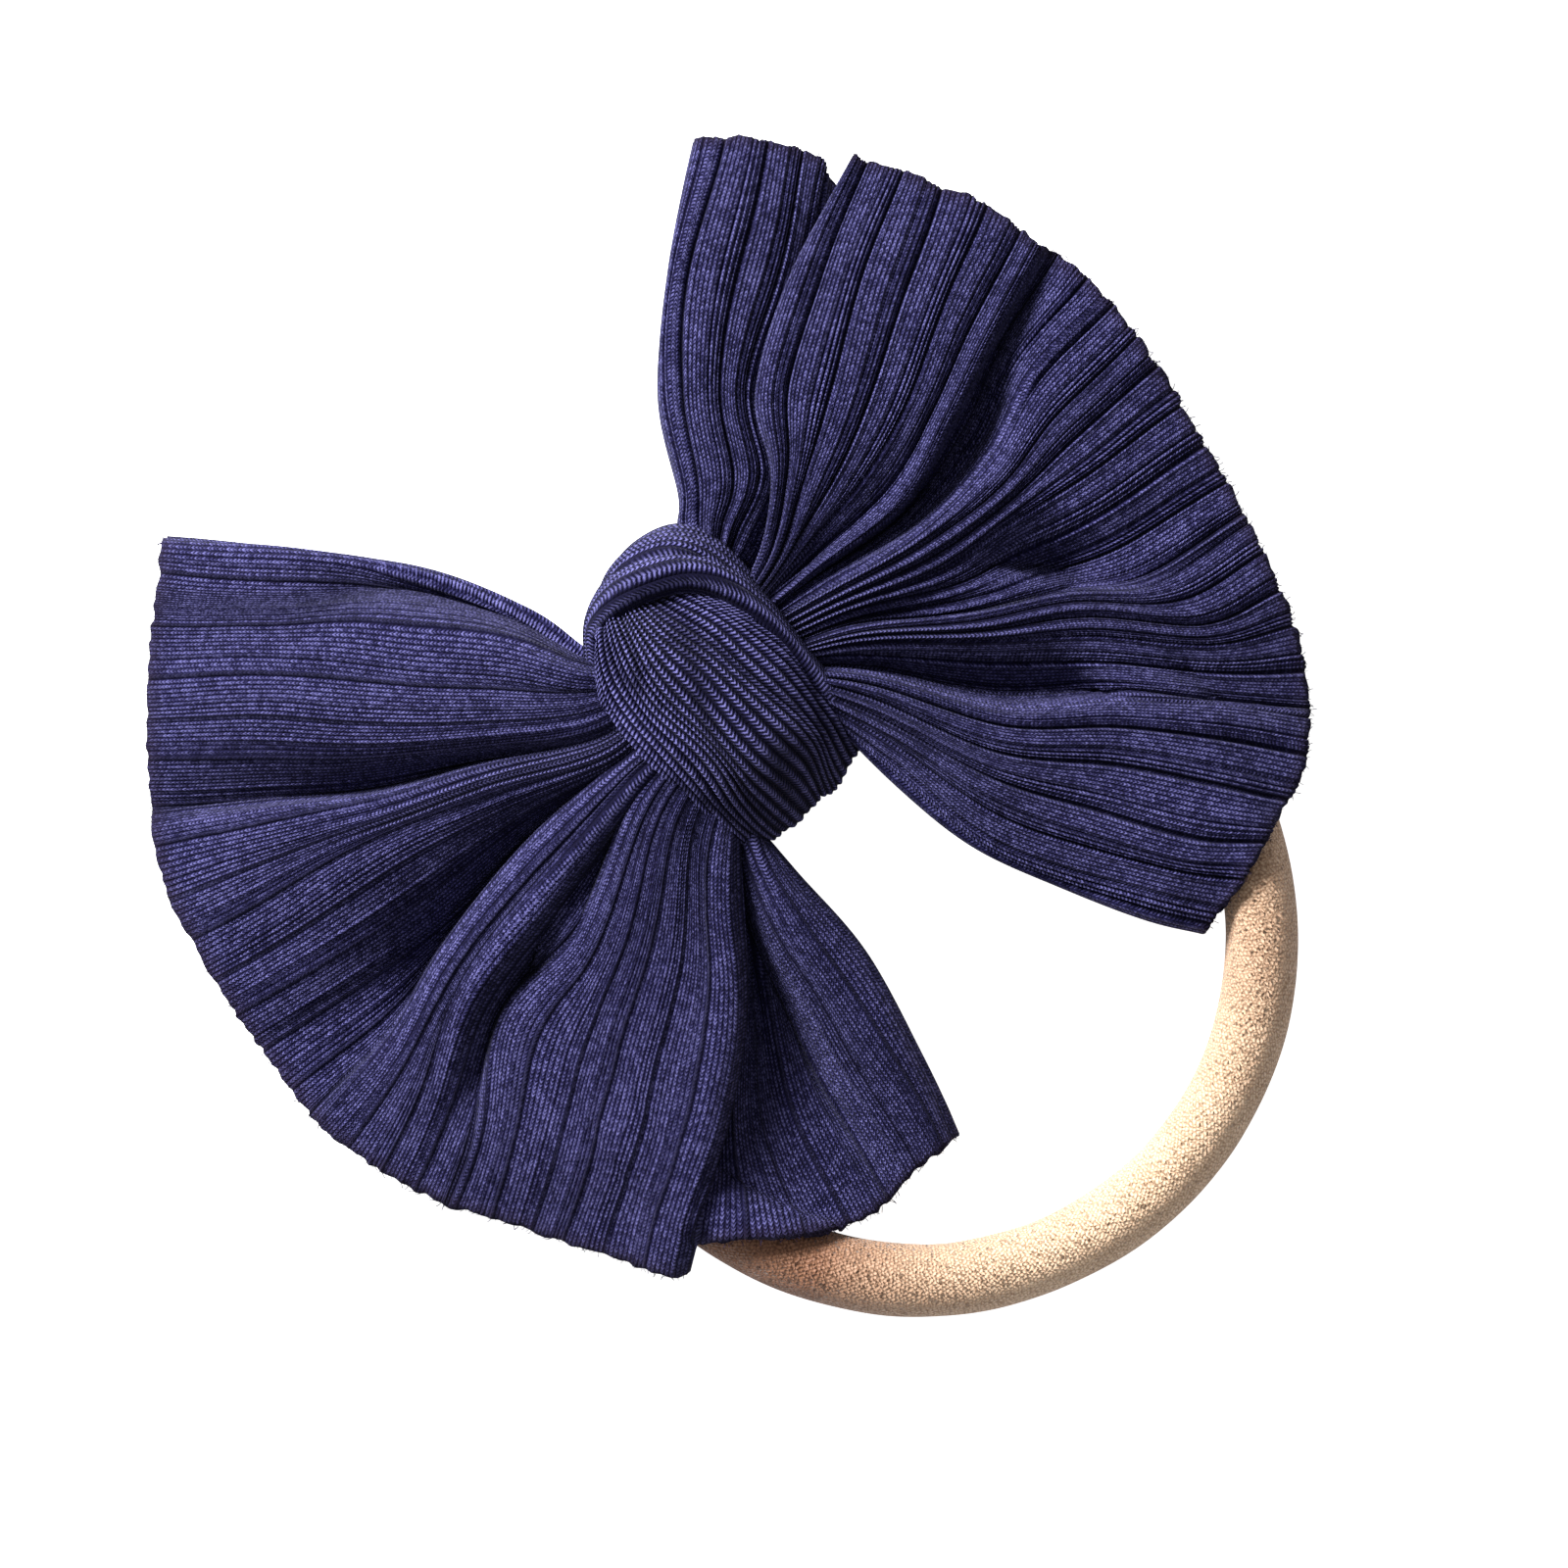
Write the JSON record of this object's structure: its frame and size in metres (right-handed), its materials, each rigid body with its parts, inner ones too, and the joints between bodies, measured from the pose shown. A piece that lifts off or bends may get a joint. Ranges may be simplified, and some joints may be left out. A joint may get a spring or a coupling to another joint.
{
  "type": "hair bow",
  "caption": "Hand-tied hair bow of rib-knit cloth knotted round a soft nylon band loop that goes over the head.",
  "frame": {"origin": "under the middle of the knot, on the plane that the bow's back rests on", "axes": "+Z out of the bow's front, +X along the bow from the left tail to the right tail, the band's loop hangs towards -Y"},
  "size_m": [0.128, 0.1331, 0.0214],
  "materials": {
    "rib_knit": "matt navy rib knit",
    "nylon_band": "soft beige nylon knit"
  },
  "bodies": {
    "band": {"band": "nylon_band"},
    "knot": {"knot_turn": "rib_knit", "knot_front": "rib_knit", "knot_hood": "rib_knit", "left_neck": "rib_knit", "right_neck": "rib_knit"},
    "left_tail": {"left_tail": "rib_knit", "left_pleat": "rib_knit"},
    "right_tail": {"right_tail": "rib_knit", "right_pleat": "rib_knit"}
  },
  "joints": [
    {"name": "bow_roll", "type": "hinge", "parent": "band", "child": "knot", "pos_m": [0, 0, 0.006], "axis": [-1, 0, 0], "range_deg": [0, 30]},
    {"name": "left_tail_lift", "type": "hinge", "parent": "knot", "child": "left_tail", "pos_m": [-0.015, 0, 0.01452], "axis": [-0.2588, 0.9659, 0], "range_deg": [0, 40]},
    {"name": "right_tail_lift", "type": "hinge", "parent": "knot", "child": "right_tail", "pos_m": [0.0136, 0, 0.01452], "axis": [0, -1, 0], "range_deg": [0, 40]}
  ]
}
